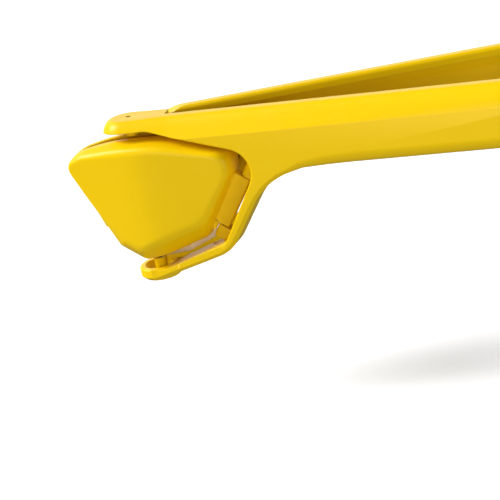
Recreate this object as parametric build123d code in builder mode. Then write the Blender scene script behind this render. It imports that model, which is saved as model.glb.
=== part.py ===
from build123d import *
import os
from math import atan2, cos, radians, sin, sqrt, tan

os.makedirs("parts", exist_ok=True)

# Fold-flat lemon squeezer. Two long levers hinge on each other about the upright main axis at
# the left end of the head, and two dished cups hinge inside them and on each other.
# Frame: millimetres, Z up along the main hinge axis, Z = 0 at the foot of the spout ring, the
# mid-plane between the levers is XZ, +X runs towards the handle ends, the front lever is on -Y.
# Every piece is drawn folded flat, as when both levers lie against the mid-plane, and is then
# turned about its hinges to the slightly open working position.

# ---- Working position ----------------------------------------------------------------------
OPENING = 18.0  # angle between the two levers, degrees
CUP_SWING = 3.66  # turn of each cup about its own hinge at that opening, degrees

# ---- Levers --------------------------------------------------------------------------------
REACH = 205.0  # hinge axis to handle end
HEIGHT = 80.3  # foot of the spout ring to the top of the nose
HALF_THICK = 13.5  # mid-plane to the outer face of a lever
PARTING = 0.25  # gap of each lever to the mid-plane when folded
GRIP_LOW = 50.5  # underside of the handle
CREASE = 70.4  # where the sloping top meets the outer face
TOP_ROUND = 1.9  # rounding of the top towards the mid-plane
TOP_FLAT = 7.0  # width of the flat top, from the mid-plane
SLOPE_START = 22.0  # from here on the top falls to the crease in a slope
HOLLOW_WALL = 3.0  # wall round the hollow handle
HOLLOW_TOP = 4.3  # thickness of its top
HEAD_KNEE = (68.8, 50.5)  # corner that the sweep between handle and head rounds off
HEAD_CORNER = (42.8, 13.3)
SWEEP = 35.0  # radius of that sweep
EDGE_ROUND = 2.0  # outer edge of the head and the handle
WINDOW_BEVEL = 0.6  # edge of the opening that the cup sits in
GRIP_ROUND = 7.0  # rounding of the handle's lower edge, under the fingers

# ---- Main hinge ----------------------------------------------------------------------------
NOSE_LOW = 75.3  # underside of the nose cap
NOSE_REACH = 19.0  # the nose cap covers this radius about the axis
NOSE_SHIFT = 1.5  # the round of the nose is centred this far left of the axis
SWEEP_GAP = 0.5  # radial gap where one lever turns inside the other
BARREL_R = 3.0  # both hinge barrels of the rear lever
UPPER_BARREL = (71.3, 74.95)
LOWER_BARREL = (3.6, 9.0)
WEB_LOW = 6.6  # underside of the web that carries the lower barrel over the spout ring
RING_R, RING_BORE, RING_H = 10.6, 7.4, 6.0
RING_BEVEL = 0.6
FOOT_BEVEL = 1.7  # outer edge of the ring's foot
BOSS_H = 3.2  # boss of the lower pin, in the middle of the spout ring
PIN_R = 1.25
RUN_FIT = 0.05  # radial clearance of a pin in the piece that turns on it

# ---- Cups ----------------------------------------------------------------------------------
CUP_DEPTH = 14.5
CUP_RIM = 0.4  # gap of each rim to the mid-plane when folded
CUP_SIDE = 4.0  # depth at which the upright rim wall ends
CUP_WALL = 2.2
RIDGE_X = 5.5  # upright ridge where the face starts to fall away to the left
RIDGE_FALL = 0.245  # depth lost per millimetre left of the ridge
CUP_EDGE = 1.8  # bevel of the cup's outer edge
LEAF_HALF = 13.8  # half length of the hinge leaf, the rectangular tab of the cup
LEAF_R = 2.6
LUG_GAP = 0.5  # end play of the leaf between the lugs of the lever
KNUCKLE_R = 2.7
KNUCKLE_GAP = 0.8  # round a knuckle in the other cup
JOINT_PIN_R = 0.9
JOINT_PLAY = 0.6  # radial play of the joint pin in the front cup's knuckles
FRONT_KNUCKLES = ((63.0, 69.0), (84.0, 90.0))  # along the joint, from the apex
REAR_KNUCKLES = ((69.9, 83.1),)
JOINT_BEVEL = 26.0  # bevel of the rims beyond the joint, which lets the cups open, degrees
KNUCKLE_END_GAP = 0.9  # along the joint

# ---- Hinge lines: all three meet in one apex on the main axis, below the foot ----------------
APEX = Vector(0, 0, -31.0)
LEAF_CENTRE = Vector(46.6, -3.9, 35.8)  # front cup, folded
LEAF_DIR = (LEAF_CENTRE - APEX).normalized()
JOINT_LEAN = 18.3  # lean of the cup joint from the main axis, degrees
JOINT_DIR = Vector(-sin(radians(JOINT_LEAN)), 0, cos(radians(JOINT_LEAN)))

# Plane across the cup hinge: x towards the lever's wall, y into the lever, z along the pin.
ACROSS_LEAF = Plane(LEAF_CENTRE, x_dir=Vector(LEAF_DIR.Z, 0, -LEAF_DIR.X), z_dir=LEAF_DIR)
ACROSS_JOINT = Plane(APEX, x_dir=(0, -1, 0), z_dir=JOINT_DIR)

# Outlines of the cup in side view: (x, z) corners and the radius that rounds each.
RIM_CORNERS = (
    (-34.0, 62.2),
    (-25.5, 68.0),
    (-9.0, 70.9),
    (16.0, 70.9),
    (51.6, 61.4),
    (50.9, 51.0),
    (30.4, 19.3),
    (7.5, 11.7),
    (-4.4, 9.9),
    (-16.0, 18.8),
)
RIM_ROUNDS = (5, 6, 12, 20, 6, 5, 9, 20, 5, 5)
FACE_CORNERS = (
    (-29.5, 56.5),
    (-23.0, 61.0),
    (-7.5, 67.6),
    (12.5, 69.9),
    (48.6, 61.6),
    (48.4, 51.5),
    (30.5, 32.0),
    (9.0, 25.2),
    (-3.0, 21.5),
    (-8.0, 25.5),
)
FACE_ROUNDS = (4, 6, 12, 20, 6.5, 7, 14, 20, 5, 5)


# Curves of the outer top edge in an end view, from the crease up: full at the nose, sloping behind.
NOSE_CORNER = (
    (-HALF_THICK, CREASE),
    (-HALF_THICK + 1.3, CREASE + 5.2),
    (-TOP_FLAT - 3.5, HEIGHT),
    (-TOP_FLAT, HEIGHT),
)
LEVER_CORNER = (
    (-HALF_THICK, CREASE),
    (-HALF_THICK + 2.5, CREASE + 4.3),
    (-TOP_FLAT - 1.8, HEIGHT),
    (-TOP_FLAT + 1.5, HEIGHT),
)


def end_view(x, corner):
    """Section of the front lever at x, full height, under the given curve of its top edge."""
    with BuildSketch(Plane.YZ.offset(x)) as view:
        with BuildLine():
            Polyline(corner[-1], (-PARTING, HEIGHT), (-PARTING, 0), (-HALF_THICK, 0), corner[0])
            Bezier(*corner)
        make_face()
    return view.sketch


def under_top():
    """Block of the front lever's thickness, full height, under its top from nose to handle end."""
    with BuildPart() as block:
        loft([end_view(-NOSE_SHIFT, NOSE_CORNER), end_view(SLOPE_START, LEVER_CORNER)], ruled=True)
        extrude(end_view(SLOPE_START, LEVER_CORNER), amount=REACH - SLOPE_START)
    return block.part


def nose_plate():
    """Part of the nose cap that reaches from the front lever back over the rear barrel."""
    with BuildPart() as plate:
        mirror(under_top(), about=Plane.XZ)
        with BuildSketch(Plane.YZ.offset(-NOSE_SHIFT)):
            with Locations((0, (NOSE_LOW + HEIGHT) / 2)):
                Rectangle(2, HEIGHT - NOSE_LOW)
        extrude(amount=NOSE_SHIFT + NOSE_REACH)
        with BuildSketch(Plane.XY.offset(NOSE_LOW)):
            Circle(NOSE_REACH)
        extrude(amount=HEIGHT, mode=Mode.INTERSECT)
    return plate.part


def sweep_low(x):
    """Height of the lever's lower edge at x, over the sweep and the straight grip."""
    lean = atan2(HEAD_KNEE[1] - HEAD_CORNER[1], HEAD_KNEE[0] - HEAD_CORNER[0])
    start = HEAD_KNEE[0] + SWEEP * tan(lean / 2)
    return GRIP_LOW if x >= start else GRIP_LOW - SWEEP + sqrt(SWEEP**2 - (start - x) ** 2)


def hollow():
    """Pocket in the inner side of the handle, its ceiling parallel to the sloping top."""
    floor, ceiling, low = HOLLOW_WALL - HALF_THICK, HEIGHT - HOLLOW_TOP, GRIP_LOW + HOLLOW_WALL
    with BuildPart() as pocket:
        with BuildSketch(Plane.XZ):
            with BuildLine():
                FilletPolyline(
                    (38, ceiling),
                    (REACH - HOLLOW_WALL, ceiling),
                    (REACH - HOLLOW_WALL, low),
                    (78, low),
                    (68, 61.6),
                    (38, 70.6),
                    radius=[2.2, 7, 7, 8, 6, 2.2],
                    close=True,
                )
            make_face()
        extrude(amount=HALF_THICK)
        with BuildSketch(Plane.YZ.offset(30)):
            with BuildLine():
                Polyline(
                    (1, low - 1),
                    (1, HEIGHT),
                    (floor + 3.6, HEIGHT),
                    (floor + 3.6, ceiling),
                    (floor, CREASE - 0.8),
                    (floor, low + 2.5),
                    (floor + 2.5, low),
                    (floor + 2.5, low - 1),
                    close=True,
                )
            make_face()
        extrude(amount=REACH, mode=Mode.INTERSECT)
    return pocket.part


def lever_blank():
    """Handle and C-shaped head frame of the front lever, without its main hinge."""
    with BuildPart() as lever:
        # side view: handle and head, rounded along the outer edge
        with BuildSketch(Plane.XZ):
            with BuildLine():
                FilletPolyline(
                    (-NOSE_SHIFT, HEIGHT),
                    (REACH, HEIGHT),
                    (REACH, GRIP_LOW),
                    HEAD_KNEE,
                    HEAD_CORNER,
                    (0, 0),
                    (-NOSE_SHIFT, 0),
                    radius=[0, 10, 10, SWEEP, 19, 0, 0],
                    close=True,
                )
            make_face()
        extrude(amount=HALF_THICK)
        outer = faces().sort_by(Axis.Y)[0]
        fillet(outer.edges().sort_by_distance(Vector(120, -HALF_THICK, GRIP_LOW))[0], EDGE_ROUND)
        # opening that the cup sits in
        with BuildSketch(Plane.XZ):
            with BuildLine():
                FilletPolyline(
                    (-NOSE_SHIFT - 1, NOSE_LOW),
                    (11.8, NOSE_LOW),
                    (66.3, 58.7),
                    (40.9, 18.3),
                    (6.8, RING_H),
                    (-NOSE_SHIFT - 1, RING_H),
                    radius=[0, 12, 11.5, 4, 12, 0],
                    close=True,
                )
            make_face()
        extrude(amount=HALF_THICK, mode=Mode.SUBTRACT)
        outer = faces().sort_by(Axis.Y)[0]
        window = outer.edges().filter_by(lambda edge: RING_H < edge.center().Z < NOSE_LOW and edge.center().X < 61.5)
        chamfer(window, WINDOW_BEVEL)
        # end view: the top slopes down to the crease of the outer face
        add(under_top(), mode=Mode.INTERSECT)
        # and is rounded towards the mid-plane, beyond the nose cap
        with BuildSketch(Plane.YZ.offset(NOSE_REACH)):
            with BuildLine():
                crown = CenterArc((-PARTING - TOP_ROUND, HEIGHT - TOP_ROUND), TOP_ROUND, 0, 90)
                Polyline(crown @ 1, (-PARTING - TOP_ROUND, HEIGHT + 1), (1, HEIGHT + 1))
                Polyline((1, HEIGHT + 1), (1, HEIGHT - TOP_ROUND), crown @ 0)
            make_face()
        extrude(amount=REACH, mode=Mode.SUBTRACT)
        # the frame draws in towards the spout ring
        with BuildSketch(Plane.XY):
            with BuildLine():
                Bezier((0, -RING_R), (7, -RING_R), (10, -HALF_THICK), (18, -HALF_THICK))
                Polyline(
                    (18, -HALF_THICK),
                    (18, -HALF_THICK - 1),
                    (-NOSE_SHIFT - 1, -HALF_THICK - 1),
                    (-NOSE_SHIFT - 1, -RING_R),
                    (0, -RING_R),
                )
            make_face()
        extrude(amount=20, mode=Mode.SUBTRACT)
        # rounding under the fingers, which fades out in the sweep
        for x, size in ((72, 2.4), (84, 4.5), (96, 6.2), (108, GRIP_ROUND), (REACH + 1, GRIP_ROUND)):
            with BuildSketch(Plane.YZ.offset(x)):
                with BuildLine():
                    low = sweep_low(x)
                    edge = -HALF_THICK
                    arc = RadiusArc((edge, low + size), (edge + size, low), -size)
                    Polyline(arc @ 1, (edge + size, low - 1), (edge - 1, low - 1), (edge - 1, low + size), arc @ 0)
                make_face()
        loft(ruled=True, mode=Mode.SUBTRACT)
        add(hollow(), mode=Mode.SUBTRACT)
        # lugs that carry the pin of the cup, above and below its leaf
        for start, length in ((LEAF_HALF + LUG_GAP, 10), (-LEAF_HALF - LUG_GAP, -6.5)):
            with BuildSketch(ACROSS_LEAF.offset(start)):
                Circle(LEAF_R)
                with Locations((3.5, 0)):
                    Rectangle(7, 2 * LEAF_R)
            extrude(amount=length)
        # bore of the cup pin, drilled from below through the lower lug
        with BuildSketch(ACROSS_LEAF.offset(-40)):
            Circle(PIN_R)
        extrude(amount=40 + LEAF_HALF + 8, mode=Mode.SUBTRACT)
    return lever.part


def facet_plane(inset):
    """Plane of the cup's left facet, moved in by an inset."""
    normal = Vector(-RIDGE_FALL, -1, 0).normalized()
    return Plane(Vector(RIDGE_X, -CUP_DEPTH, 0) - normal * inset, x_dir=(0, 0, 1), z_dir=normal)


def drawn_in(corners, inset):
    """Corners of an outline after each of its sides moves in by an inset."""
    if not inset:
        return corners
    with BuildSketch() as outline:
        with BuildLine():
            Polyline(*corners, close=True)
        make_face()
        offset(amount=-inset, kind=Kind.INTERSECTION)
    moved = [outline.vertices().sort_by_distance(corner)[0] for corner in corners]
    return [(corner.X, corner.Y) for corner in moved]


def cup_outline(level, corners, rounds, inset):
    """Face of the cup's outline at a depth from the mid-plane, drawn in by an inset."""
    moved = drawn_in(corners, inset)
    reduced = [radius - inset / 2 for radius in rounds]
    with BuildSketch(Plane.XZ.offset(level)) as outline:
        with BuildLine():
            FilletPolyline(*moved, radius=reduced, close=True)
        make_face()
    return outline.sketch


def cup_form(inset, bevel):
    """Dished form of the front cup, drawn in by an inset, with a bevel round its face."""
    side, depth = CUP_SIDE - inset, CUP_DEPTH - inset
    levels = [cup_outline(side, RIM_CORNERS, RIM_ROUNDS, inset)]
    if bevel:
        share = 1 - bevel / (CUP_DEPTH - CUP_SIDE)
        shoulder = [
            (rim[0] + share * (face[0] - rim[0]), rim[1] + share * (face[1] - rim[1]))
            for rim, face in zip(RIM_CORNERS, FACE_CORNERS)
        ]
        levels.append(cup_outline(depth - bevel, shoulder, FACE_ROUNDS, inset))
    levels.append(cup_outline(depth, FACE_CORNERS, FACE_ROUNDS, inset + bevel / 2))
    with BuildPart() as form:
        extrude(cup_outline(CUP_RIM, RIM_CORNERS, RIM_ROUNDS, inset), amount=side - CUP_RIM)
        loft(levels, ruled=True)
        split(bisect_by=facet_plane(inset), keep=Keep.BOTTOM)
    return form.part


def cup_blank():
    """Front cup without the knuckles of the cup joint: shell, hinge leaf and comb of slots."""
    with BuildPart() as cup:
        add(cup_form(0, CUP_EDGE))
        ridge = edges().filter_by(Axis.Z).sort_by_distance((RIDGE_X, -CUP_DEPTH, 40))[0]
        fillet(ridge, radius=24)
        with BuildSketch(ACROSS_LEAF.offset(-LEAF_HALF)):
            Circle(LEAF_R)
            with Locations((-5.5, 0)):
                Rectangle(11, 2 * LEAF_R)
            with Locations((1.2, -LEAF_R / 2)):
                Rectangle(2.4, LEAF_R)
        extrude(amount=2 * LEAF_HALF)
        add(cup_form(CUP_WALL, 0), mode=Mode.SUBTRACT)
        with BuildSketch(ACROSS_LEAF.offset(-LEAF_HALF)):
            Circle(PIN_R + RUN_FIT)
        extrude(amount=2 * LEAF_HALF, mode=Mode.SUBTRACT)
        # bevel beyond the cup joint
        with BuildSketch(ACROSS_JOINT.offset(40)):
            with BuildLine():
                Polyline((-1, 0), (0.3, 0), (0.3 + 8 * tan(radians(JOINT_BEVEL)), -8), (-1, -8), close=True)
            make_face()
        extrude(amount=80, mode=Mode.SUBTRACT)
        # comb at the tip: the juice runs out between its teeth and the pips stay in
        with Locations(*[(x, -CUP_RIM, 12) for x in (-4.6, -1.4, 1.8, 5.0, 8.2)]):
            Box(1.6, 5.6, 8, mode=Mode.SUBTRACT)
    return cup.part


def widened(spans):
    """Spans of the joint with the gap that the other cup leaves at their ends."""
    return [(low - KNUCKLE_END_GAP, high + KNUCKLE_END_GAP) for low, high in spans]


def joint_cylinders(spans, radius):
    """Cylinders along the cup joint over the given spans, measured from the apex."""
    with BuildPart() as rods:
        for low, high in spans:
            with BuildSketch(ACROSS_JOINT.offset(low)):
                Circle(radius)
            extrude(amount=high - low)
    return rods.part


def finish(solid, label, turns):
    """Turns a folded piece about its hinges to the working position and writes it."""
    for axis, angle in turns:
        solid = solid.rotate(axis, angle)
    solid.label = label
    export_step(solid, f"parts/{label}.step")
    return solid


FRONT_LEAF = Axis(LEAF_CENTRE, LEAF_DIR)
REAR_LEAF = Axis(
    Vector(LEAF_CENTRE.X, -LEAF_CENTRE.Y, LEAF_CENTRE.Z), Vector(LEAF_DIR.X, -LEAF_DIR.Y, LEAF_DIR.Z)
)
FRONT_LEVER_TURN = (Axis.Z, -OPENING / 2)
REAR_LEVER_TURN = (Axis.Z, OPENING / 2)
FRONT_CUP_TURN = (FRONT_LEAF, CUP_SWING)
REAR_CUP_TURN = (REAR_LEAF, -CUP_SWING)

# ---- Front lever: nose cap above, spout ring below --------------------------------------------
with BuildPart() as ring:
    with BuildSketch(Plane.XZ):
        with BuildLine():
            Polyline(
                (RING_BORE + RING_BEVEL, 0),
                (RING_R - FOOT_BEVEL, 0),
                (RING_R, FOOT_BEVEL),
                (RING_R, RING_H - RING_BEVEL),
                (RING_R - RING_BEVEL, RING_H),
                (RING_BORE + RING_BEVEL, RING_H),
                (RING_BORE, RING_H - RING_BEVEL),
                (RING_BORE, RING_BEVEL),
                close=True,
            )
        make_face()
    revolve(axis=Axis.Z)

with BuildPart() as front_handle:
    add(lever_blank())
    # nose cap, the lever's top edge carried round the axis and back into the lever
    with BuildSketch(Plane.YZ.offset(-NOSE_SHIFT)):
        with BuildLine():
            Bezier(*NOSE_CORNER)
            Polyline((-TOP_FLAT, HEIGHT), (0, HEIGHT), (0, CREASE), (-HALF_THICK, CREASE))
        make_face()
        with Locations((-HALF_THICK, CREASE)):
            Rectangle(3 * HALF_THICK, 2 * (NOSE_LOW - CREASE), mode=Mode.SUBTRACT)
    revolve(axis=Axis((-NOSE_SHIFT, 0, 0), (0, 0, -1)), revolution_arc=180)
    add(nose_plate())
    # spout ring with the boss of the lower pin
    with BuildSketch(Plane.XY):
        Circle(RING_BORE)
    extrude(amount=12, mode=Mode.SUBTRACT)
    add(ring.part)
    with BuildSketch(Plane.XY):
        Circle(BARREL_R)
        with Locations((4.5, 0)):
            Rectangle(7, 4)
    extrude(amount=BOSS_H)
    for low, high in ((NOSE_LOW, HEIGHT), (0, BOSS_H)):
        with BuildSketch(Plane.XY.offset(low)):
            Circle(PIN_R)
        extrude(amount=high - low, mode=Mode.SUBTRACT)

# ---- Rear lever: two barrels on webs, one under the nose cap and one in the spout ring ----------
with BuildPart() as rear_handle:
    mirror(lever_blank(), about=Plane.XZ)
    # clears the nose cap above and the spout ring below
    with BuildSketch(Plane.XY.offset(NOSE_LOW - 0.35)):
        Circle(NOSE_REACH + SWEEP_GAP)
    extrude(amount=12, mode=Mode.SUBTRACT)
    with BuildSketch(Plane.XY):
        Circle(RING_R + SWEEP_GAP)
    extrude(amount=WEB_LOW, mode=Mode.SUBTRACT)
    for low, top, reach in ((UPPER_BARREL[0], UPPER_BARREL[1], 24), (WEB_LOW, LOWER_BARREL[1], 20)):
        with BuildSketch(Plane.XY.offset(low)):
            Circle(BARREL_R)
            with BuildLine():
                Polyline((0, PARTING), (reach, PARTING), (reach + 2, 12), (12, 11), (0, BARREL_R), close=True)
            make_face()
        extrude(amount=top - low)
    with BuildSketch(Plane.XY.offset(LOWER_BARREL[0])):
        Circle(BARREL_R)
    extrude(amount=LOWER_BARREL[1] - LOWER_BARREL[0])
    with BuildSketch(Plane.XY):
        Circle(PIN_R + RUN_FIT)
    extrude(amount=HEIGHT, mode=Mode.SUBTRACT)

# ---- Cups ------------------------------------------------------------------------------------
with BuildPart() as front_cup:
    add(cup_blank())
    add(joint_cylinders(widened(REAR_KNUCKLES), KNUCKLE_R + KNUCKLE_GAP), mode=Mode.SUBTRACT)
    add(joint_cylinders(FRONT_KNUCKLES, KNUCKLE_R))
    add(joint_cylinders(((60, 100),), JOINT_PIN_R + JOINT_PLAY), mode=Mode.SUBTRACT)

with BuildPart() as rear_cup:
    mirror(cup_blank(), about=Plane.XZ)
    add(joint_cylinders(widened(FRONT_KNUCKLES), KNUCKLE_R + KNUCKLE_GAP), mode=Mode.SUBTRACT)
    add(joint_cylinders(REAR_KNUCKLES, KNUCKLE_R))
    add(joint_cylinders(((60, 100),), JOINT_PIN_R), mode=Mode.SUBTRACT)

# ---- Pins ------------------------------------------------------------------------------------
with BuildPart() as upper_hinge_pin:
    with BuildSketch(Plane.XY.offset(UPPER_BARREL[0] + 0.3)):
        Circle(PIN_R)
    extrude(amount=HEIGHT - UPPER_BARREL[0] - 0.7)

with BuildPart() as lower_hinge_pin:
    with BuildSketch(Plane.XY):
        Circle(PIN_R)
    extrude(amount=LOWER_BARREL[1] - 0.4)

with BuildPart() as cup_pin:
    with BuildSketch(ACROSS_LEAF.offset(-LEAF_HALF - 7)):
        Circle(PIN_R)
    extrude(amount=2 * LEAF_HALF + 14)

with BuildPart() as cup_joint_pin:
    add(joint_cylinders(((FRONT_KNUCKLES[0][0] + 0.5, FRONT_KNUCKLES[-1][1] - 0.5),), JOINT_PIN_R))

rear_cup_pin = mirror(cup_pin.part, about=Plane.XZ)

finish(front_handle.part, "front_handle", [FRONT_LEVER_TURN])
finish(rear_handle.part, "rear_handle", [REAR_LEVER_TURN])
finish(front_cup.part, "front_cup", [FRONT_CUP_TURN, FRONT_LEVER_TURN])
finish(rear_cup.part, "rear_cup", [REAR_CUP_TURN, REAR_LEVER_TURN])
finish(upper_hinge_pin.part, "upper_hinge_pin", [FRONT_LEVER_TURN])
finish(lower_hinge_pin.part, "lower_hinge_pin", [FRONT_LEVER_TURN])
finish(cup_pin.part, "front_cup_pin", [FRONT_LEVER_TURN])
finish(rear_cup_pin, "rear_cup_pin", [REAR_LEVER_TURN])
finish(cup_joint_pin.part, "cup_joint_pin", [REAR_CUP_TURN, REAR_LEVER_TURN])
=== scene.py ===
import logging
import math
from dataclasses import dataclass
from enum import Enum

import bmesh
import bpy
import numpy as np
from mathutils import Matrix, Vector


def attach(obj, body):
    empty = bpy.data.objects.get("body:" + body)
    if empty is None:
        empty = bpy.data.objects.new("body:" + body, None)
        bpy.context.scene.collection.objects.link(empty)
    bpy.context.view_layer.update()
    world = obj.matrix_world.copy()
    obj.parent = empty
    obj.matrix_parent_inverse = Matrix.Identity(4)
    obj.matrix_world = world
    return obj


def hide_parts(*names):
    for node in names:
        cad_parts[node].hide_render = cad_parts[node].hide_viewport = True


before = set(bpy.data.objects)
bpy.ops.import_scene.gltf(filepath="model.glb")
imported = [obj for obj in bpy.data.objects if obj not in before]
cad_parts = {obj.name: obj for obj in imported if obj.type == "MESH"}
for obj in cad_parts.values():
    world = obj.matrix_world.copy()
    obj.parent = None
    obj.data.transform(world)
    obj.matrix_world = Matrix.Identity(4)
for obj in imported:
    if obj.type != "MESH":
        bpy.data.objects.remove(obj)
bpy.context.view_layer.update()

# Fold-flat lemon squeezer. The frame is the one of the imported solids, in metres: Z up along the main
# hinge, Z = 0 under the spout ring, +X towards the handle ends, the front lever on -Y. Shapes are
# worked out in millimetres with the squeezer folded flat, as (x, depth, z) with the depth measured
# outwards from the mid-plane, and are then turned about the hinges to the slightly open rest.

LOG = logging.getLogger("squeezer")

Array = np.ndarray
Colour = tuple[float, float, float]
Corners = tuple[tuple[float, float], ...]
Setting = bpy.types.NodeSocket | float | tuple[float, ...]

OPENING = 18.0  # angle between the levers at rest, degrees
CUP_SWING = 3.66  # turn of each cup about its own hinge at that opening
APEX = np.array([0.0, 0.0, -31.0])  # where the hinge lines of the cups meet, mm
LEAF_CENTRE = np.array([46.6, -3.9, 35.8])
JOINT_LEAN = 18.3  # lean of the joint between the cups, degrees
FRONT_KNUCKLES = ((63.0, 69.0), (84.0, 90.0))  # along that joint, from the apex, mm
REAR_KNUCKLES = ((69.9, 83.1),)
KNUCKLE_R = 2.7
JOINT_PIN_R = 0.9
JOINT_PLAY = 0.6  # radial play of the joint pin in the front cup's knuckles

ARC_STEPS = 9  # points on each rounded corner of an outline
SIDE_STEPS = 16  # points on each side between two corners
RING_STEPS = 40  # points round a pin or a bore
LEAST_RADIUS = 0.3  # a rounded corner never gets sharper than this, mm
SHRINK = 0.5  # share of an inset by which the roundings inside it get smaller
OUTWARDS = np.array([1.0, -1.0, 1.0])  # turns a depth into Y of the front half
WELD = 1e-6  # corners of a solid's facets that are nearer than this are joined, metres
FACE_WEIGHT = 100  # share by which large faces decide how the corners are shaded, percent

YELLOW = (0.93, 0.612, 0.001)
DEEP_YELLOW = (0.92, 0.602, 0.001)


class Side(Enum):
    """Which of the two mirrored halves a piece belongs to."""

    FRONT = "front"
    REAR = "rear"

    @property
    def lever_body(self) -> str:
        """Body that carries the lever of this side."""
        return f"{self.value}_lever"

    @property
    def cup_body(self) -> str:
        """Body that carries the cup of this side."""
        return f"{self.value}_cup_body"


# ---- Placing ------------------------------------------------------------------------------------


def unit(vector: Array) -> Array:
    """Returns the vector scaled to length one."""
    return vector / np.linalg.norm(vector)


def turned(points: Array, through: Array, axis: Array, degrees: float) -> Array:
    """Turns points about a line.

    Each point keeps its part along the axis, and the rest turns in the plane across it: the
    rotation formula of the part across times the cosine plus the cross product times the sine.

    Args:
        points: Array of points, shape (..., 3).
        through: A point on the line.
        axis: Direction of the line.
        degrees: Angle by the right-hand rule.

    Returns:
        The turned points, same shape.
    """
    k = unit(axis)
    angle = math.radians(degrees)
    arm = points - through
    along = (arm @ k)[..., None] * k
    return through + along + (arm - along) * math.cos(angle) + np.cross(k, arm) * math.sin(angle)


def seated(points: Array, side: Side, with_cup: bool) -> Array:
    """Moves points from the folded front half to their place at rest, in metres.

    Args:
        points: Points of the front half in folded position, mm, with Y = minus the depth.
        side: Half that the piece belongs to; the rear half is mirrored in the mid-plane.
        with_cup: True where the piece also turns with the cup about its hinge.

    Returns:
        Points in the frame, metres.
    """
    placed = points
    if with_cup:
        placed = turned(placed, LEAF_CENTRE, LEAF_CENTRE - APEX, CUP_SWING)
    placed = turned(placed, np.zeros(3), np.array([0.0, 0.0, 1.0]), -OPENING / 2)
    if side is Side.REAR:
        placed = placed * OUTWARDS
    return placed / 1000.0


# ---- Meshes -------------------------------------------------------------------------------------


def grid_faces(rows: int, columns: int) -> Array:
    """Quads of a grid that closes along its columns.

    Args:
        rows: Number of rows of points.
        columns: Number of points in a row, the last one joining the first.

    Returns:
        Array of quads, shape ((rows - 1) * columns, 4).
    """
    row, column = np.meshgrid(np.arange(rows - 1), np.arange(columns), indexing="ij")
    after = (column + 1) % columns
    low, high = row * columns, (row + 1) * columns
    return np.stack([low + column, low + after, high + after, high + column], -1).reshape(-1, 4)


def fan_faces(ring: Array, pole: int) -> Array:
    """Triangles between a closed ring of points and a pole."""
    return np.stack([ring, np.roll(ring, -1), np.full(len(ring), pole)], -1)


def enclosed(points: Array, triangles: Array) -> float:
    """Signed volume: a sixth of the sum of the triple products of the triangles' corners."""
    a, b, c = (points[triangles[:, k]] for k in range(3))
    return float(np.einsum("ij,ij->", a, np.cross(b, c)) / 6.0)


class Shell:
    """Collects closed surfaces and turns them into one mesh object."""

    def __init__(self, name: str) -> None:
        """Starts an empty shell.

        Args:
            name: Name of its piece.
        """
        self.name = name
        self.points: list[Array] = []
        self.faces: list[list[int]] = []
        self.count = 0

    def add_tube(self, grid: Array, capped: bool = True) -> None:
        """Adds a grid whose rows are closed rings, with a pole in the middle of each end.

        Args:
            grid: Points in metres, shape (rows, columns, 3).
            capped: True to close both ends with fans; otherwise the last row joins the first.
        """
        rows, columns, _ = grid.shape
        points = grid.reshape(-1, 3)
        if capped:
            points = np.vstack([points, grid[0].mean(0), grid[-1].mean(0)])
            body = grid_faces(rows, columns)
            low = fan_faces(np.arange(columns)[::-1], rows * columns)
            high = fan_faces(np.arange(columns) + (rows - 1) * columns, rows * columns + 1)
            ends = np.vstack([low, high])
        else:
            wrapped = grid_faces(rows + 1, columns) % (rows * columns)
            body, ends = wrapped, np.zeros((0, 3), int)
        triangles = np.vstack([body[:, [0, 1, 2]], body[:, [0, 2, 3]], ends])
        if enclosed(points, triangles) < 0:
            body, ends = body[:, ::-1], ends[:, ::-1]
        self.points.append(points)
        self.faces += (body + self.count).tolist() + (ends + self.count).tolist()
        self.count += len(points)

    def finish(self) -> bpy.types.Object:
        """Makes the mesh object, smooth shaded, at the origin.

        Returns:
            The new object, linked to the scene.
        """
        mesh = bpy.data.meshes.new(self.name)
        mesh.from_pydata(np.vstack(self.points).tolist(), [], self.faces)
        mesh.polygons.foreach_set("use_smooth", np.ones(len(mesh.polygons), bool))
        mesh.update()
        piece = bpy.data.objects.new(self.name, mesh)
        bpy.context.scene.collection.objects.link(piece)
        return piece


# ---- Finishes -----------------------------------------------------------------------------------


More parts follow.
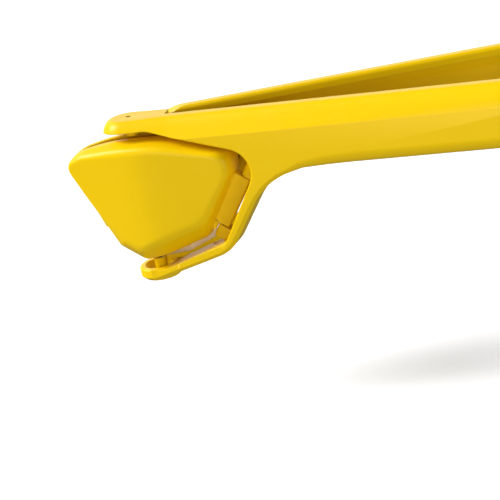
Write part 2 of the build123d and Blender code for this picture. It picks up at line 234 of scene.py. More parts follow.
class NodeBench:
    """Node tree of a material or a world, with short ways to add what the finishes share."""

    def __init__(self, owner: bpy.types.Material | bpy.types.World) -> None:
        """Starts with the nodes that a new material or world has.

        Args:
            owner: Material or world whose nodes these are.
        """
        owner.use_nodes = True
        self.nodes, self.links = owner.node_tree.nodes, owner.node_tree.links
        self.place = self.nodes.new("ShaderNodeTexCoord")

    def join(self, node: bpy.types.Node, inputs: dict[str, Setting]) -> None:
        """Sets inputs of a node: a socket is linked to the input, and a value is put into it.

        Args:
            node: Node whose inputs are set.
            inputs: Socket or value for each input, by the input's name.
        """
        for name, value in inputs.items():
            if isinstance(value, bpy.types.NodeSocket):
                self.links.new(value, node.inputs[name])
            else:
                node.inputs[name].default_value = value

    def add(self, kind: str, inputs: dict[str, Setting], output: str) -> bpy.types.NodeSocket:
        """Adds a node and sets its inputs.

        Args:
            kind: Type of the node.
            inputs: Socket or value for each input, by the input's name.
            output: Name of the output that is wanted.

        Returns:
            That output.
        """
        node = self.nodes.new(kind)
        self.join(node, inputs)
        return node.outputs[output]

    def noise(
        self, place: bpy.types.NodeSocket, scale: float, detail: float = 2.0, twist: float = 0.0
    ) -> bpy.types.NodeSocket:
        """Adds noise.

        Args:
            place: Coordinates that it reads.
            scale: How fine it is.
            detail: Number of finer layers in it.
            twist: How far it is bent by itself.

        Returns:
            The noise, from 0 to 1.
        """
        inputs = {"Vector": place, "Scale": scale, "Detail": detail, "Distortion": twist}
        return self.add("ShaderNodeTexNoise", inputs, "Fac")

    def blend(self, share: bpy.types.NodeSocket, first: Colour, second: Colour) -> bpy.types.NodeSocket:
        """Adds a blend of two colours.

        Args:
            share: Share of the second colour.
            first: Colour where the share is 0.
            second: Colour where it is 1.

        Returns:
            The blended colour.
        """
        node = self.nodes.new("ShaderNodeMix")
        node.data_type = "RGBA"
        self.join(node, {"Factor": share, "A": (*first, 1.0), "B": (*second, 1.0)})
        return node.outputs["Result"]


@dataclass(frozen=True)
class MouldedPlastic:
    """Glossy injection-moulded plastic: faint flow marks, fine orange peel, uneven gloss."""

    name: str
    colour: Colour = YELLOW
    deep: Colour = DEEP_YELLOW
    flow_scale: float = 26.0
    flow_detail: float = 4.0
    flow_twist: float = 0.6
    gloss_scale: float = 95.0
    gloss_detail: float = 5.0
    gloss_span: tuple[float, float] = (0.3, 0.7)  # noise values that give smooth and dull
    smooth: float = 0.30
    dull: float = 0.40
    peel: float = 0.05
    peel_scale: float = 900.0
    peel_height: float = 0.0002  # metres
    edge: float = 0.0007  # radius that the moulding's crisp edges catch the light with, metres
    edge_samples: int = 6
    depth_share: float = 0.08  # share of the light that goes into the plastic and out again
    depth_tint: Colour = (1.0, 0.55, 0.12)
    depth: float = 0.0012  # how deep that light goes, metres
    sheen: float = 0.17
    refraction: float = 1.49

    def build(self) -> bpy.types.Material:
        """Makes the material.

        Returns:
            The node material, on Object coordinates.
        """
        material = bpy.data.materials.new(self.name)
        bench = NodeBench(material)
        place = bench.place.outputs["Object"]
        flow = bench.noise(place, self.flow_scale, self.flow_detail, self.flow_twist)
        gloss = bench.noise(place, self.gloss_scale, self.gloss_detail)
        spread = {
            "Value": gloss,
            "From Min": self.gloss_span[0],
            "From Max": self.gloss_span[1],
            "To Min": self.smooth,
            "To Max": self.dull,
        }
        soft_edge = bench.nodes.new("ShaderNodeBevel")
        soft_edge.samples = self.edge_samples
        soft_edge.inputs["Radius"].default_value = self.edge
        peel = {
            "Strength": self.peel,
            "Distance": self.peel_height,
            "Normal": soft_edge.outputs["Normal"],
            "Height": bench.noise(place, self.peel_scale),
        }
        bench.join(
            bench.nodes["Principled BSDF"],
            {
                "Base Color": bench.blend(flow, self.colour, self.deep),
                "Roughness": bench.add("ShaderNodeMapRange", spread, "Result"),
                "Normal": bench.add("ShaderNodeBump", peel, "Normal"),
                "Subsurface Weight": self.depth_share,
                "Subsurface Radius": self.depth_tint,
                "Subsurface Scale": self.depth,
                "Specular IOR Level": self.sheen,
                "IOR": self.refraction,
            },
        )
        return material


@dataclass(frozen=True)
class DrawnSteel:
    """Plain drawn steel of the hinge pins, with fine marks of the drawing die."""

    name: str
    colour: Colour = (0.30, 0.30, 0.31)
    shade: float = 0.6  # how much of the colour is left in the darkest marks
    marks: tuple[float, float, float] = (3000.0, 3000.0, 120.0)  # fine across the pin, long along it
    mark_detail: float = 3.0
    smooth: float = 0.28
    dull: float = 0.50

    def build(self) -> bpy.types.Material:
        """Makes the material.

        Returns:
            The node material, on Object coordinates.
        """
        material = bpy.data.materials.new(self.name)
        bench = NodeBench(material)
        stretch = {"Vector": bench.place.outputs["Object"], "Scale": self.marks}
        marks = bench.noise(bench.add("ShaderNodeMapping", stretch, "Vector"), 1.0, self.mark_detail)
        spread = {"Value": marks, "To Min": self.smooth, "To Max": self.dull}
        bench.join(
            bench.nodes["Principled BSDF"],
            {
                "Base Color": bench.blend(marks, self.colour, self.shade * np.array(self.colour)),
                "Roughness": bench.add("ShaderNodeMapRange", spread, "Result"),
                "Metallic": 1.0,
            },
        )
        return material


@dataclass(frozen=True)
class PaleGround:
    """Pale matt light table under the squeezer, with a barely visible tooth."""

    name: str = "pale_ground"
    light: Colour = (0.97, 0.97, 0.97)
    dim: Colour = (0.95, 0.95, 0.95)
    tooth: float = 40.0
    dull: float = 0.7
    glow: float = 0.20

    def build(self) -> bpy.types.Material:
        """Makes the material.

        Returns:
            The node material.
        """
        material = bpy.data.materials.new(self.name)
        bench = NodeBench(material)
        tooth = bench.noise(bench.place.outputs["Object"], self.tooth)
        bench.join(
            bench.nodes["Principled BSDF"],
            {
                "Base Color": bench.blend(tooth, self.light, self.dim),
                "Roughness": self.dull,
                "Emission Color": (1.0, 1.0, 1.0, 1.0),
                "Emission Strength": self.glow,
            },
        )
        return material


# ---- Outlines and cuts --------------------------------------------------------------------------


def rounded_outline(corners: Array, radii: Array, inset: float) -> Array:
    """Samples a polygon with rounded corners, moved in by an inset.

    Every side moves in along its normal and neighbouring sides meet again in a corner. A corner of
    radius r and turn t is an arc that starts r * tan(t / 2) before the corner, about a centre that
    lies r across the arriving side, on the side that it turns to; between two arcs it is straight.

    Args:
        corners: Corners in order, shape (n, 2).
        radii: Radius of each corner.
        inset: Distance that the sides move in.

    Returns:
        Points of the closed outline, shape (n * (ARC_STEPS + SIDE_STEPS), 2).
    """
    along = np.roll(corners, -1, 0) - corners
    along /= np.linalg.norm(along, axis=1, keepdims=True)
    arriving = np.roll(along, 1, 0)
    cross = arriving[:, 0] * along[:, 1] - arriving[:, 1] * along[:, 0]
    turn = np.arctan2(cross, (arriving * along).sum(1))
    hand = np.sign(turn.sum())
    inward = hand * np.stack([-along[:, 1], along[:, 0]], 1)
    to_middle = inward + np.roll(inward, 1, 0)
    to_middle /= np.linalg.norm(to_middle, axis=1, keepdims=True)
    moved = corners + to_middle * (inset / np.cos(turn / 2))[:, None]
    radius = np.maximum(radii - SHRINK * inset, LEAST_RADIUS)
    start = moved - arriving * (radius * np.tan(np.abs(turn) / 2))[:, None]
    across = np.stack([-arriving[:, 1], arriving[:, 0]], 1)
    centre = start + across * (np.sign(turn) * radius)[:, None]
    angle = turn[:, None] * np.linspace(0, 1, ARC_STEPS)
    arm = (start - centre)[:, None, :]
    turned_arm = np.stack(
        [
            arm[..., 0] * np.cos(angle) - arm[..., 1] * np.sin(angle),
            arm[..., 0] * np.sin(angle) + arm[..., 1] * np.cos(angle),
        ],
        -1,
    )
    arcs = centre[:, None, :] + turned_arm
    share = (np.arange(1, SIDE_STEPS + 1) / (SIDE_STEPS + 1))[None, :, None]
    sides = arcs[:, -1:, :] * (1 - share) + np.roll(arcs, -1, 0)[:, :1, :] * share
    return np.concatenate([arcs, sides], 1).reshape(-1, 2)


def bend(before: Array, corner: Array, after: Array, steps: int) -> Array:
    """Rounds a corner of a profile: the parabola of its three control points.

    Args:
        before: Points where the rounding starts, shape (n, 3).
        corner: Corner points.
        after: Points where the rounding ends.
        steps: Number of rows.

    Returns:
        Rows of points, shape (steps, n, 3).
    """
    t = np.linspace(0, 1, steps)[:, None, None]
    return (1 - t) ** 2 * before + 2 * t * (1 - t) * corner + t**2 * after


def carve(piece: bpy.types.Object, cutter: bpy.types.Object) -> None:
    """Takes the space of one closed object out of another and removes the cutter.

    Args:
        piece: Object that is cut; its mesh is exchanged for the result.
        cutter: Closed object.

    Raises:
        ValueError: Where the cut leaves less than half of the piece's faces.
    """
    before = len(piece.data.polygons)
    tool = piece.modifiers.new("cut", "BOOLEAN")
    tool.operation, tool.solver, tool.object = "DIFFERENCE", "EXACT", cutter
    bpy.context.view_layer.update()
    graph = bpy.context.evaluated_depsgraph_get()
    result = bpy.data.meshes.new_from_object(piece.evaluated_get(graph))
    piece.modifiers.remove(tool)
    if len(result.polygons) < before / 2:
        raise ValueError(f"{cutter.name} left {len(result.polygons)} of {before} faces of {piece.name}")
    spare, piece.data = piece.data, result
    result.name = piece.name
    bpy.data.meshes.remove(spare)
    cut_mesh = cutter.data
    bpy.data.objects.remove(cutter)
    bpy.data.meshes.remove(cut_mesh)


# ---- Levers -------------------------------------------------------------------------------------


def crisp(piece: bpy.types.Object, degrees: float) -> None:
    """Keeps edges sharper than an angle crisp and shades what lies between by its area.

    Args:
        piece: Object to shade.
        degrees: Least angle between two faces that meet in a crisp edge.
    """
    piece.data.polygons.foreach_set("use_smooth", np.ones(len(piece.data.polygons), bool))
    piece.data.set_sharp_from_angle(angle=math.radians(degrees))
    normals = piece.modifiers.new("flat_faces", "WEIGHTED_NORMAL")
    normals.weight = FACE_WEIGHT
    normals.keep_sharp = True


@dataclass
class Lever:
    """One lever: the shape of its solid, trimmed where it flows into the spout ring and the nose."""

    side: Side
    plastic: bpy.types.Material
    crease: float = 16.0  # edges sharper than this stay crisp, degrees
    half_thick: float = 13.5
    ring_r: float = 10.6
    stub: float = 1.5  # length of the limb beyond the hinge axis
    draw_in: float = 38.0  # from here on the limb draws in to the ring
    draw_in_top: float = 20.0  # height up to which it does
    ring_controls: Corners = ((0.0, 0.0), (0.30, 0.30), (0.68, 0.90), (1.0, 1.0))
    limb_corners: Corners = (
        (0.0, 0.0),
        (42.8, 13.3),
        (68.8, 50.5),
        (205.0, 50.5),
        (205.0, 80.3),
        (0.0, 80.3),
    )
    limb_radii: tuple[float, ...] = (0.3, 19.0, 35.0, 10.0, 10.0, 0.3)
    foot_bevel: float = 1.7  # outer edge of the limb's underside, as on the ring
    nose_clear: float = 19.5  # the rear lever's top starts at this radius about the hinge
    top: float = 80.3
    flare: float = 3.0  # depth by which that top falls towards the nose
    flare_reach: float = 9.0
    flare_round: int = 160  # points round the cutter of the flare
    over: float = 0.6  # how far a cutter stands out of what it cuts

    @property
    def node(self) -> str:
        """Node that the lever stands for."""
        return f"{self.side.value}_handle"

    def solid_copy(self) -> bpy.types.Object:
        """Copies the mesh of the solid and joins its loose facets.

        Returns:
            The new object, linked to the scene.
        """
        name = f"{self.side.value}_lever_moulding"
        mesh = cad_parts[self.node].data.copy()
        mesh.name = name
        mesh.materials.clear()
        facets = bmesh.new()
        facets.from_mesh(mesh)
        bmesh.ops.remove_doubles(facets, verts=facets.verts, dist=WELD)
        facets.to_mesh(mesh)
        facets.free()
        piece = bpy.data.objects.new(name, mesh)
        bpy.context.scene.collection.objects.link(piece)
        return piece

    def ring_curve(self, steps: int = 24) -> tuple[Array, Array]:
        """Plan of the limb's outer face where it draws in to the ring.

        The curve is the cubic of four control points, given as shares of its length and of its
        rise: it leaves the ring nearly straight and flattens towards the outer face.

        Args:
            steps: Number of points.

        Returns:
            X and depth of its points.
        """
        t = np.linspace(0, 1, steps)[:, None]
        rise = self.half_thick - self.ring_r
        controls = np.array(self.ring_controls) * (self.draw_in, rise) + (0.0, self.ring_r)
        curve = (1 - t) ** 3 * controls[0] + 3 * t * (1 - t) ** 2 * controls[1]
        curve = curve + 3 * t**2 * (1 - t) * controls[2] + t**3 * controls[3]
        return curve[:, 0], curve[:, 1]

    def draw_in_rings(self) -> Array:
        """Rings of the cutter beside the ring curve: upright rectangles outside it.

        Returns:
            Points (x, y, z), shape (rings, 4, 3).
        """
        x, depth = self.ring_curve()
        x[0] -= self.stub + self.over
        far, low, high = np.full(len(x), self.half_thick + self.over), -self.over, self.draw_in_top
        corners = [(depth, low), (depth, high), (far, high), (far, low)]
        return np.stack([np.stack([x, -d, np.full(len(x), z)], -1) for d, z in corners], 1)

    def foot_rings(self) -> Array:
        """Rings of the cutter that bevels the limb's underside, from the ring to the sweep.

        At every point of the underside the ring is a triangle between the normal of the side
        outline and the depth, whose long side cuts the edge off at 45 degrees.

        Returns:
            Points (x, y, z), shape (rings, 3, 3).
        """
        limb = rounded_outline(np.array(self.limb_corners), np.array(self.limb_radii), 0.0)
        # from the end of the first corner's arc to the end of the third's
        limb = limb[ARC_STEPS : 2 * (ARC_STEPS + SIDE_STEPS) + ARC_STEPS]
        limb = np.vstack([(-self.stub - self.over, 0.0), (-self.over, 0.0), (0.0, 0.0), limb])
        along = np.gradient(limb, axis=0)
        along /= np.linalg.norm(along, axis=1, keepdims=True)
        out = np.stack([along[:, 1], -along[:, 0]], 1)
        depth = np.interp(limb[:, 0], *self.ring_curve())
        size, over = self.foot_bevel, self.over
        steps = ((over, -size - over), (-size - over, over), (over, over))
        rings = []
        for step_out, step_depth in steps:
            plan = limb + step_out * out
            rings.append(np.stack([plan[:, 0], -depth - step_depth, plan[:, 1]], -1))
        return np.stack(rings, 1)

    def flare_rings(self, steps: int = 12) -> Array:
        """Rings of the cutter above the rear lever's top beside the nose.

        The height under the cutter is the top less the flare times (1 - s) squared, at the radius
        nose_clear plus s times the reach, turned about the hinge.

        Args:
            steps: Number of rings on the flare.

        Returns:
            Points (x, y, z), shape (rings, points, 3).
        """
        s = np.linspace(0, 1, steps)
        radius = np.append(self.nose_clear + self.flare_reach * s, self.nose_clear + self.flare_reach)
        height = np.append(self.top - self.flare * (1 - s) ** 2, self.top + self.over)
        angle = np.linspace(0, 2 * math.pi, self.flare_round, endpoint=False)
        circle = np.stack([np.cos(angle), np.sin(angle)], -1)
        level = np.broadcast_to(height[:, None, None], (len(radius), len(angle), 1))
        return np.concatenate([radius[:, None, None] * circle, level], -1)

    def build(self) -> bpy.types.Object:
        """Builds and dresses the lever, and puts it in the place of its solid.

        Returns:
            The lever's object.
        """
        piece = self.solid_copy()
        cuts = [self.draw_in_rings(), self.foot_rings()]
        if self.side is Side.REAR:
            cuts.append(self.flare_rings())
        for number, rings in enumerate(cuts):
            cutter = Shell(f"trim_{number}")
            cutter.add_tube(seated(rings, self.side, with_cup=False))
            carve(piece, cutter.finish())
        piece.data.materials.append(self.plastic)
        crisp(piece, self.crease)
        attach(piece, self.side.lever_body)
        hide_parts(self.node)
        LOG.info("%s: %d faces", piece.name, len(piece.data.polygons))
        return piece


@dataclass
class Pins:
    """The five pins, which keep the shapes of their solids."""

    steel: bpy.types.Material
    crease: float = 32.0  # edges sharper than this stay crisp, degrees
    names: tuple[str, ...] = (
        "upper_hinge_pin",
        "lower_hinge_pin",
        "front_cup_pin",
        "rear_cup_pin",
        "cup_joint_pin",
    )

    def dress(self) -> None:
        """Gives every pin its finish: joins its facets, splits it at crisp edges, shades by area."""
        for name in self.names:
            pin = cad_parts[name]
            for slot in pin.material_slots:
                slot.material = self.steel
            pin.data.polygons.foreach_set("use_smooth", np.ones(len(pin.data.polygons), bool))
            weld = pin.modifiers.new("join_facets", "WELD")
            weld.merge_threshold = WELD
            split = pin.modifiers.new("crisp_edges", "EDGE_SPLIT")
            split.split_angle = math.radians(self.crease)
            normals = pin.modifiers.new("flat_faces", "WEIGHTED_NORMAL")
            normals.weight = FACE_WEIGHT
            LOG.info("shaded %s", name)


# ---- Cups ---------------------------------------------------------------------------------------


@dataclass
class Cup:
    """Dished cup with its hinge leaf and its share of the joint between the cups."""

    side: Side
    plastic: bpy.types.Material
    rim_corners: Corners = (
        (-34.0, 62.2),
        (-25.5, 68.0),
        (-9.0, 70.9),
        (16.0, 70.9),
        (51.6, 61.4),
        (50.9, 51.0),
        (30.4, 19.3),
        (7.5, 11.7),
        (-4.4, 9.9),
        (-16.0, 18.8),
    )
    rim_radii: tuple[float, ...] = (5, 20, 95, 95, 6, 5, 9, 20, 5, 5)
    face_corners: Corners = (
        (-29.5, 56.5),
        (-23.0, 61.0),
        (-7.5, 67.6),
        (12.5, 69.9),
        (48.8, 61.5),
        (48.8, 51.2),
        (32.4, 29.6),
        (9.6, 22.8),
        (-3.0, 19.6),
        (-8.6, 24.6),
    )
    face_radii: tuple[float, ...] = (4, 20, 60, 55, 8, 8, 16, 20, 5, 5)
    depth: float = 14.5
    rim: float = 0.4  # gap of the rim to the mid-plane
    rim_round: float = 0.35
    joint_rim: float = 0.3  # the same gap beyond the joint line
    side_depth: float = 4.0  # the upright wall ends here
    side_round: float = 1.2
    wall: float = 2.2
    ridge_x: float = 5.5
    ridge_fall: float = 0.245
    ridge_width: float = 9.0
    edge_round: float = 3.4  # length of the rounding on either side of the edge round the face
    round_share: float = 0.45  # most of a slope's length that one rounding takes up
    halvings: int = 30  # steps in the search for the edge round the face
    middle: tuple[float, float] = (6.0, 46.0)
    joint_bevel: float = 26.0
    wall_rows: int = 3
    side_rows: int = 5
    edge_rows: int = 9
    face_rows: int = 26
    knuckle_gap: float = 0.8  # round a knuckle in the other cup
    knuckle_end_gap: float = 0.9
    bore_span: tuple[float, float] = (60.0, 100.0)  # the joint pin's bore, from the apex
    slot_width: float = 1.6
    slot_low: float = 8.0
    slot_high: float = 16.0
    slot_depths: tuple[float, float] = (-2.4, 3.2)
    slot_places: tuple[float, ...] = (-4.6, -1.4, 1.8, 5.0, 8.2)
    leaf_r: float = 2.6  # half thickness of the hinge leaf, and its reach beyond the pin
    leaf_root: float = 6.4  # from the pin back into the wall
    leaf_half: float = 13.8
    leaf_bore: float = 1.3
    leaf_bevel: float = 0.3
    leaf_radii: tuple[float, ...] = (0.4, 1.0, 2.47, 0.4)  # of the leaf's corners seen along its pin
    foot_radius: float = 0.6
    foot_overlap: float = 1.0  # how far the foot reaches into the leaf
    foot_length: float = 4.2  # how far the root of the leaf goes on below its end
    foot_gap: float = 0.25  # from that foot to the lever's lug
    crease: float = 32.0  # edges sharper than this stay crisp, degrees

    def face_depth(self, x: Array) -> Array:
        """Depth of the face: level right of the ridge, falling to the left of it.

        The fall is ridge_fall times half of (d + sqrt(d^2 + w^2)), where d is the distance left of
        the ridge and w is the width over which the ridge is rounded.
        """
        left = self.ridge_x - x
        return self.depth - self.ridge_fall * 0.5 * (left + np.sqrt(left**2 + self.ridge_width**2))

    def raised(self, outline: Array, depth: Array | float) -> Array:
        """Points (x, depth, z) of an outline (x, z) at a depth."""
        return np.stack([outline[:, 0], np.broadcast_to(depth, len(outline)), outline[:, 1]], -1)

    def skin(self, inset: float) -> list[Array]:
        """One surface of the cup, from its rim to the middle of its face.

        The upright wall follows the rim outline. From its top a slope runs to the face outline, as
        a straight line between points with the same place in both outlines, and ends where it meets
        the face. Inside that edge, the rows shrink towards the middle and lie on the face.

        Args:
            inset: 0 for the outer surface, the wall for the inner one.

        Returns:
            Rows of points (x, depth, z), each of the same length.
        """
        rim = rounded_outline(np.array(self.rim_corners), np.array(self.rim_radii), inset)
        face = rounded_outline(np.array(self.face_corners), np.array(self.face_radii), inset)
        low, high = self.side_depth - inset * SHRINK, self.depth - inset
        share_low, share_high = np.zeros(len(rim)), np.ones(len(rim))
        for _ in range(self.halvings):
            share = (share_low + share_high) / 2
            x = rim[:, 0] + share * (face[:, 0] - rim[:, 0])
            below = low + share * (high - low) < self.face_depth(x) - inset
            share_low = np.where(below, share, share_low)
            share_high = np.where(below, share_high, share)
        edge_plan = rim + share[:, None] * (face - rim)
        foot = self.raised(rim, low)
        edge = self.raised(edge_plan, self.face_depth(edge_plan[:, 0]) - inset)

        slope = edge - foot
        length = np.linalg.norm(slope, axis=1, keepdims=True)
        slope /= length
        inward = np.array(self.middle) - edge_plan
        reach = np.linalg.norm(inward, axis=1, keepdims=True)
        rounding = np.minimum(self.edge_round - SHRINK * inset, self.round_share * length)
        turn_in = edge_plan + inward / reach * rounding
        onto_face = self.raised(turn_in, self.face_depth(turn_in[:, 0]) - inset)
        off_slope = edge - slope * rounding
        onto_slope = foot + slope * np.minimum(self.side_round, self.round_share * length)
        wall_end = low - self.side_round
        levels = np.linspace(self.rim + self.rim_round, wall_end, self.wall_rows)
        rows = [self.raised(rim, level) for level in levels]
        rows += list(bend(self.raised(rim, wall_end), foot, onto_slope, self.side_rows)[1:])
        rows += [onto_slope + (off_slope - onto_slope) * k for k in (1 / 3, 2 / 3)]
        rows += list(bend(off_slope, edge, onto_face, self.edge_rows))
        for k in np.linspace(0, 1, self.face_rows + 1)[1:-1]:
            plan = turn_in + (np.array(self.middle) - turn_in) * k
            rows.append(self.raised(plan, self.face_depth(plan[:, 0]) - inset))
        return rows

    def rim_rows(self) -> list[Array]:
        """Rows across the rim, from the inner wall to the outer one, each edge a quarter circle.

        Returns:
            Rows of points (x, depth, z).
        """
        quarter = np.radians((30, 60, 90))
        drawn = self.rim_round * (1 - np.cos(quarter))
        rise = self.rim_round * (1 - np.sin(quarter))
        steps = [(self.wall - d, r) for d, r in zip(drawn, rise)] + list(zip(drawn, rise))[::-1]
        corners, radii = np.array(self.rim_corners), np.array(self.rim_radii)
        return [self.raised(rounded_outline(corners, radii, d), self.rim + r) for d, r in steps]

    def bevelled(self, points: Array) -> Array:
        """Lifts the rim off the mid-plane beyond the joint line.

        The depth is at least the distance beyond the line times the tangent of the bevel angle.

        Args:
            points: Points (x, depth, z), shape (..., 3).

        Returns:
            The lifted points, same shape.
        """
        lean = math.radians(JOINT_LEAN)
        beyond = -(points[..., 0] * math.cos(lean) + (points[..., 2] - APEX[2]) * math.sin(lean))
        least = self.joint_rim + np.maximum(beyond, 0) * math.tan(math.radians(self.joint_bevel))
        lifted = points.copy()
        lifted[..., 1] = np.where(beyond > 0, np.maximum(points[..., 1], least), points[..., 1])
        return lifted

    def placed(self, points: Array) -> Array:
        """Moves points of the folded front cup, given as (x, y, z), to this cup at rest."""
        return seated(points, self.side, with_cup=True)

    def shell(self) -> bpy.types.Object:
        """Makes the dished wall as one closed surface: inner skin, rim, outer skin.

        Returns:
            The object, with the comb and the room for the other cup's knuckles cut out.
        """
        rows = self.skin(self.wall)[::-1] + self.rim_rows() + self.skin(0.0)
        grid = self.bevelled(np.array(rows)) * OUTWARDS
        cup = Shell(f"{self.side.value}_cup_shell")
        cup.add_tube(self.placed(grid))
        piece = cup.finish()
        for cutter in self.cutters():
            carve(piece, cutter)
        return piece

    @property
    def own_knuckles(self) -> tuple[tuple[float, float], ...]:
        """Spans of this cup's knuckles along the joint, from the apex."""
        return FRONT_KNUCKLES if self.side is Side.FRONT else REAR_KNUCKLES

    @property
    def other_knuckles(self) -> tuple[tuple[float, float], ...]:
        """Spans of the other cup's knuckles."""
        return REAR_KNUCKLES if self.side is Side.FRONT else FRONT_KNUCKLES

    @property
    def pin_bore(self) -> float:
        """Radius of the joint pin's bore, which has play in the front cup."""
        return JOINT_PIN_R + (JOINT_PLAY if self.side is Side.FRONT else 0.0)

    def joint_rings(self, steps: list[tuple[float, float]]) -> Array:
        """Rings about the joint line.

        A ring of radius r at the distance s from the apex is the apex plus s times the direction
        of the joint plus r times the circle in the plane across it.

        Args:
            steps: Radius and distance of each ring.

        Returns:
            Points (x, y, z), shape (rings, RING_STEPS, 3).
        """
        lean = math.radians(JOINT_LEAN)
        line = np.array([-math.sin(lean), 0.0, math.cos(lean)])
        across = np.array([math.cos(lean), 0.0, math.sin(lean)])
        angle = np.linspace(0, 2 * math.pi, RING_STEPS, endpoint=False)[:, None]
        circle = np.cos(angle) * np.array([0.0, -1.0, 0.0]) + np.sin(angle) * across
        radius, distance = (np.array(values)[:, None, None] for values in zip(*steps))
        return APEX + distance * line + radius * circle

    def cutters(self) -> list[bpy.types.Object]:
        """Makes the bodies that are cut out of the wall: knuckle room, pin bore, comb slots.

        Returns:
            One closed object for each cut.
        """
        bodies = []
        for low, high in self.other_knuckles:
            reach, gap = KNUCKLE_R + self.knuckle_gap, self.knuckle_end_gap
            bodies.append(self.joint_rings([(reach, low - gap), (reach, high + gap)]))
        bodies.append(self.joint_rings([(self.pin_bore, place) for place in self.bore_span]))
        half, (near, far) = self.slot_width / 2, self.slot_depths
        plan = np.array([(-half, near), (half, near), (half, far), (-half, far)])
        for x in self.slot_places:
            ends = (self.slot_low, self.slot_high)
            bodies.append(np.array([np.insert(plan + (x, 0), 2, z, axis=1) * OUTWARDS for z in ends]))
        made = []
        for number, grid in enumerate(bodies):
            cutter = Shell(f"cutter_{number}")
            cutter.add_tube(self.placed(grid))
            made.append(cutter.finish())
        return made

    def on_leaf(self, plan: Array, place: float) -> Array:
        """Points of a plan across the hinge line of the leaf, set at a place along that line.

        Args:
            plan: Distances from the line, outwards and backwards, shape (points, 2).
            place: Place along the line, from the middle of the leaf.

        Returns:
            Points (x, y, z).
        """
        line = unit(LEAF_CENTRE - APEX)
        out = unit(np.array([line[2], 0.0, -line[0]]))
        return LEAF_CENTRE + plan[:, :1] * out + plan[:, 1:] * np.cross(line, out) + place * line

    def leaf_rings(self) -> Array:
        """Rings of the hinge leaf, round its outline and back through its bore.

        The outline lies across the hinge line: flat in front and behind, round at the back of its
        free edge. The bore's ring has a point in the direction of every point of the outline.

        Returns:
            Points (x, y, z), shape (rings, points, 3), whose last ring joins the first.
        """
        r, root = self.leaf_r, -self.leaf_root
        corners = np.array([(root, -r), (r, -r), (r, r), (root, r)])
        radii = np.array(self.leaf_radii)
        full, drawn = (rounded_outline(corners, radii, inset) for inset in (0.0, self.leaf_bevel))
        bore = full / np.linalg.norm(full, axis=1, keepdims=True) * self.leaf_bore
        half, bevel = self.leaf_half, self.leaf_bevel
        outside = ((drawn, -half), (full, bevel - half), (full, half - bevel), (drawn, half))
        inside = ((bore, half), (bore, -half))
        return np.array([self.on_leaf(plan, place) for plan, place in outside + inside])

    def foot_rings(self) -> Array:
        """Rings of the foot below the leaf, a block between the wall and the lever's lug.

        Returns:
            Points (x, y, z), shape (rings, points, 3).
        """
        r, root, edge = self.leaf_r, -self.leaf_root, -self.leaf_r - self.foot_gap
        corners = np.array([(root, -r), (edge, -r), (edge, r), (root, r)])
        radii = np.full(len(corners), self.foot_radius)
        full, drawn = (rounded_outline(corners, radii, inset) for inset in (0.0, self.leaf_bevel))
        low, high = -self.leaf_half - self.foot_length, self.foot_overlap - self.leaf_half
        loops = ((drawn, low), (full, low + self.leaf_bevel), (full, high))
        return np.array([self.on_leaf(plan, place) for plan, place in loops])

    def fittings(self) -> bpy.types.Object:
        """Makes the hinge leaf, the foot below it and the knuckles, which grow out of the wall.

        Returns:
            The object, of one closed surface for each.
        """
        part = Shell(f"{self.side.value}_cup_hinges")
        part.add_tube(self.placed(self.leaf_rings()), capped=False)
        part.add_tube(self.placed(self.foot_rings()))
        r, bore, bevel = KNUCKLE_R, self.pin_bore, self.leaf_bevel
        for low, high in self.own_knuckles:
            outside = [(r - bevel, low), (r, low + bevel), (r, high - bevel), (r - bevel, high)]
            knuckle = self.joint_rings(outside + [(bore, high), (bore, low)])
            part.add_tube(self.placed(knuckle), capped=False)
        return part.finish()

    def build(self) -> list[bpy.types.Object]:
        """Builds and dresses the cup, and puts it in the place of its solid.

        Returns:
            The pieces of the cup.
        """
        pieces = [self.shell(), self.fittings()]
        for piece in pieces:
            piece.data.materials.append(self.plastic)
            piece.data.set_sharp_from_angle(angle=math.radians(self.crease))
            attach(piece, self.side.cup_body)
            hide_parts(f"{self.side.value}_cup")
            LOG.info("%s: %d faces", piece.name, len(piece.data.polygons))
        return pieces


# ---- Stage --------------------------------------------------------------------------------------


@dataclass
class Viewpoint:
    """Camera: angles of the view, its roll, and the point that it is framed on."""

    azimuth: float = 13.0
    elevation: float = 19.0
    roll: float = 11.7
    distance: float = 0.860
    scale: float = 0.485e-3  # metres per pixel at the hinge
    frame_side: int = 500
    anchor: tuple[float, float, float] = (0.0, 0.0, 0.006)
    anchor_pixel: tuple[float, float] = (161.3, 262.0)
    sensor: float = 36.0  # mm
    sight: tuple[float, float] = (0.01, 20.0)  # nearest and farthest that it sees, metres

    def build(self) -> bpy.types.Object:
        """Makes the camera and gives it to the scene.

        Returns:
            The camera object.
        """
        a, e, r = (math.radians(v) for v in (self.azimuth, self.elevation, self.roll))
        back = Vector((math.sin(a) * math.cos(e), -math.cos(a) * math.cos(e), math.sin(e)))
        level = Vector((math.cos(a), math.sin(a), 0.0))
        upright = back.cross(level)
        right = level * math.cos(r) - upright * math.sin(r)
        up = upright * math.cos(r) + level * math.sin(r)
        focal = self.distance / self.scale
        across = (self.anchor_pixel[0] - self.frame_side / 2) / focal
        above = -(self.anchor_pixel[1] - self.frame_side / 2) / focal
        place = Vector(self.anchor) + self.distance * (back - right * across - up * above)
        data = bpy.data.cameras.new("camera")
        data.sensor_width = self.sensor
        data.lens = focal * data.sensor_width / self.frame_side
        data.clip_start, data.clip_end = self.sight
        camera = bpy.data.objects.new("camera", data)
        bpy.context.scene.collection.objects.link(camera)
        camera.matrix_world = Matrix(
            (
                (right.x, up.x, back.x, place.x),
                (right.y, up.y, back.y, place.y),
                (right.z, up.z, back.z, place.z),
                (0.0, 0.0, 0.0, 1.0),
            )
        )
        bpy.context.scene.camera = camera
        return camera


@dataclass(frozen=True)
class SoftBox:
    """Large square lamp that looks at the squeezer."""

    name: str
    place: tuple[float, float, float]
    size: float
    power: float


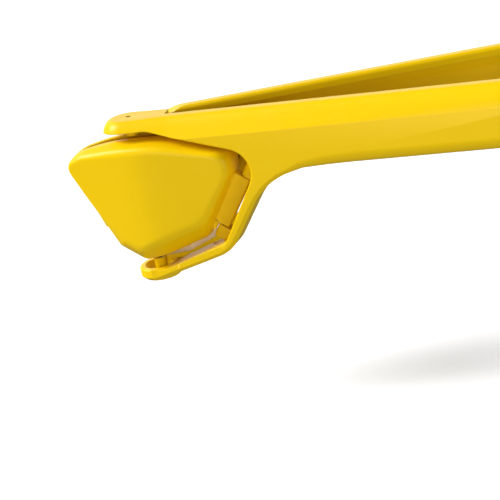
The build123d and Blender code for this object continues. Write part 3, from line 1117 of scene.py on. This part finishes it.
@dataclass
class Studio:
    """Pale floor, even sky, one broad main light from the upper left and three soft boxes."""

    floor_side: float = 40.0
    floor_height: float = -0.068
    sky: float = 0.09
    bounce: float = 0.48  # light from below, as a pale ground throws it back
    bounce_gloss: float = 0.12  # the same, as the gloss shows it
    horizon: tuple[float, float] = (-0.35, 0.15)  # heights between which one turns into the other
    sun_from: tuple[float, float, float] = (-0.82, -0.08, 0.70)
    sun_strength: float = 3.9
    sun_spread: float = 28.0  # width of the main light, degrees
    boxes: tuple[SoftBox, ...] = (
        SoftBox("fill", (1.00, -0.85, 0.20), 0.6, 4.4),
        SoftBox("front", (-0.35, -1.30, 0.10), 0.6, 6.3),
        SoftBox("back", (-0.30, 1.25, 0.42), 1.6, 9.0),
    )
    aim: tuple[float, float, float] = (0.05, 0.0, 0.04)

    def add_lamp(self, lamp: bpy.types.Light, place: Vector) -> None:
        """Puts a lamp in its place, looking at the squeezer.

        Args:
            lamp: Lamp to place.
            place: Where it stands, metres.
        """
        holder = bpy.data.objects.new(lamp.name, lamp)
        holder.location = place
        holder.rotation_euler = (place - Vector(self.aim)).to_track_quat("Z", "Y").to_euler()
        bpy.context.scene.collection.objects.link(holder)

    def lay_floor(self) -> None:
        """Lays the floor, which shows and takes shadows but throws no light up on the squeezer."""
        half = self.floor_side / 2
        corners = [(-half, -half), (half, -half), (half, half), (-half, half)]
        mesh = bpy.data.meshes.new("floor")
        mesh.from_pydata([(x, y, self.floor_height) for x, y in corners], [], [(0, 1, 2, 3)])
        mesh.materials.append(PaleGround().build())
        floor = bpy.data.objects.new("floor", mesh)
        bpy.context.scene.collection.objects.link(floor)
        floor.visible_diffuse = False
        floor.visible_glossy = False

    def light_sky(self) -> None:
        """Makes the sky: even above, brighter below the squeezer, less so in its gloss."""
        world = bpy.data.worlds.new("sky")
        bench = NodeBench(world)
        height = bench.add("ShaderNodeSeparateXYZ", {"Vector": bench.place.outputs["Generated"]}, "Z")
        in_gloss = bench.add("ShaderNodeLightPath", {}, "Is Glossy Ray")
        low = {"Factor": in_gloss, "A": self.bounce, "B": self.bounce_gloss}
        strength = bench.nodes.new("ShaderNodeMapRange")
        strength.interpolation_type = "SMOOTHSTEP"
        bench.join(
            strength,
            {
                "Value": height,
                "From Min": self.horizon[0],
                "From Max": self.horizon[1],
                "To Min": bench.add("ShaderNodeMix", low, "Result"),
                "To Max": self.sky,
            },
        )
        white = {"Color": (1.0, 1.0, 1.0, 1.0), "Strength": strength.outputs["Result"]}
        bench.join(bench.nodes["Background"], white)
        bpy.context.scene.world = world

    def build(self) -> None:
        """Makes the floor, the sky and the lamps."""
        self.lay_floor()
        self.light_sky()
        bpy.context.scene.view_settings.view_transform = "Standard"

        sun = bpy.data.lights.new("main_light", "SUN")
        sun.energy = self.sun_strength
        sun.angle = math.radians(self.sun_spread)
        self.add_lamp(sun, Vector(self.aim) + Vector(self.sun_from))
        for box in self.boxes:
            lamp = bpy.data.lights.new(box.name, "AREA")
            lamp.size = box.size
            lamp.energy = box.power
            self.add_lamp(lamp, Vector(box.place))


def main() -> None:
    """Builds the squeezer's pieces in order, then the stage and the camera."""
    logging.basicConfig(level=logging.INFO, format="%(name)s: %(message)s")
    lever_yellow = MouldedPlastic("yellow_lever").build()
    cup_yellow = MouldedPlastic("yellow_cup").build()
    Pins(DrawnSteel("pin_steel").build()).dress()
    for side in Side:
        Lever(side, lever_yellow).build()
        Cup(side, cup_yellow).build()
    Viewpoint().build()
    Studio().build()


if __name__ == "__main__":
    main()
